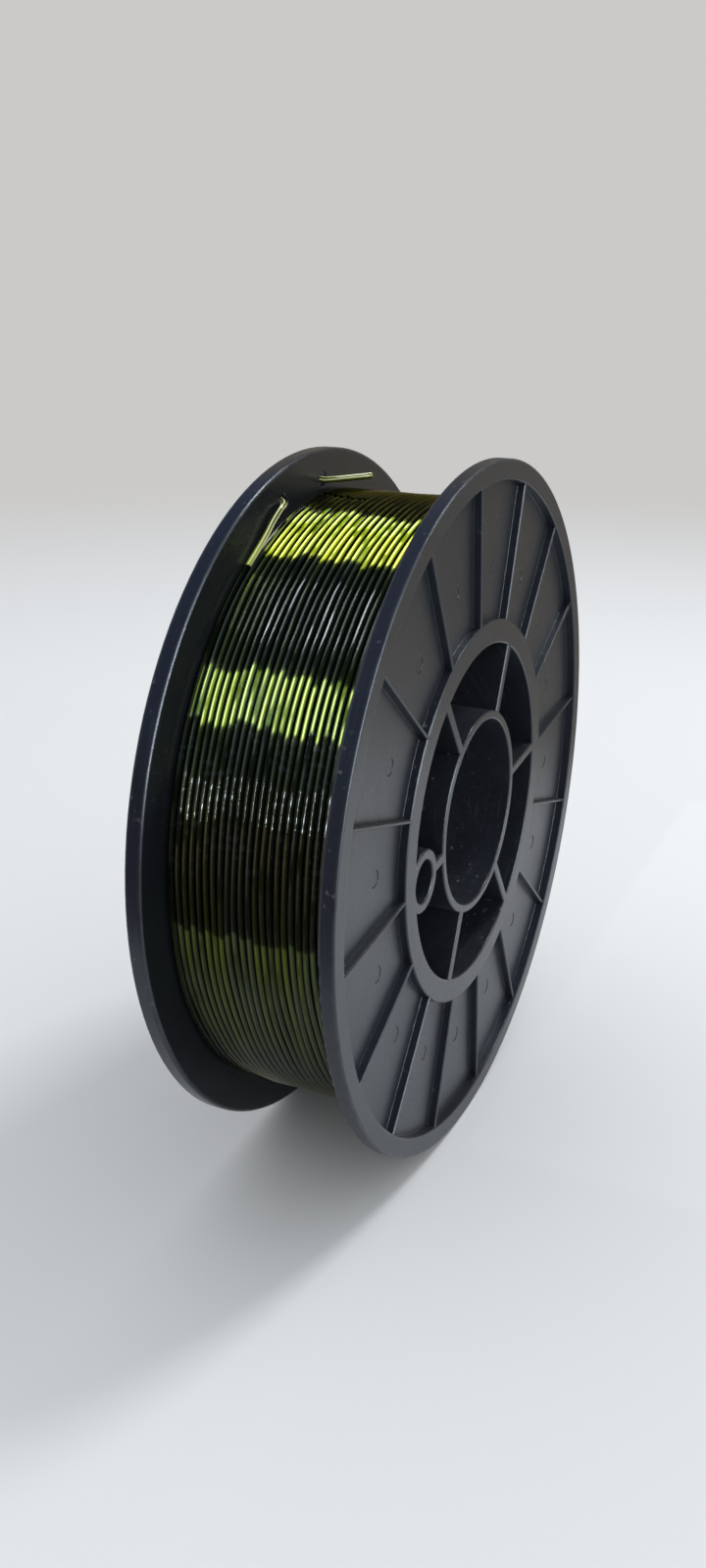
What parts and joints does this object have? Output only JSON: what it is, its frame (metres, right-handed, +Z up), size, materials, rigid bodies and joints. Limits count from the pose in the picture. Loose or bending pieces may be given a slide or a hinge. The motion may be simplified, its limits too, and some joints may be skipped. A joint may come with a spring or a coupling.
{
  "type": "filament spool",
  "caption": "Black moulded filament spool with ribbed flanges and a spoked hub, wound with translucent yellow-green filament whose cut end is tied off through one flange.",
  "frame": {"origin": "middle of the spindle bore, halfway between the two rim faces", "axes": "+X along the spindle bore towards the right flange, +Z up when the spool stands on its rims, the drive hole near -Y"},
  "size_m": [0.0564, 0.2, 0.2],
  "materials": {
    "spool_plastic": "satin moulded black",
    "filament": "glossy translucent yellow-green"
  },
  "bodies": {
    "root": {"right_half": "spool_plastic", "left_half": "spool_plastic", "filament_inner_layers": "filament", "filament_outer_layer": "filament", "filament_tail": "filament", "filament_start": "filament"}
  },
  "joints": []
}
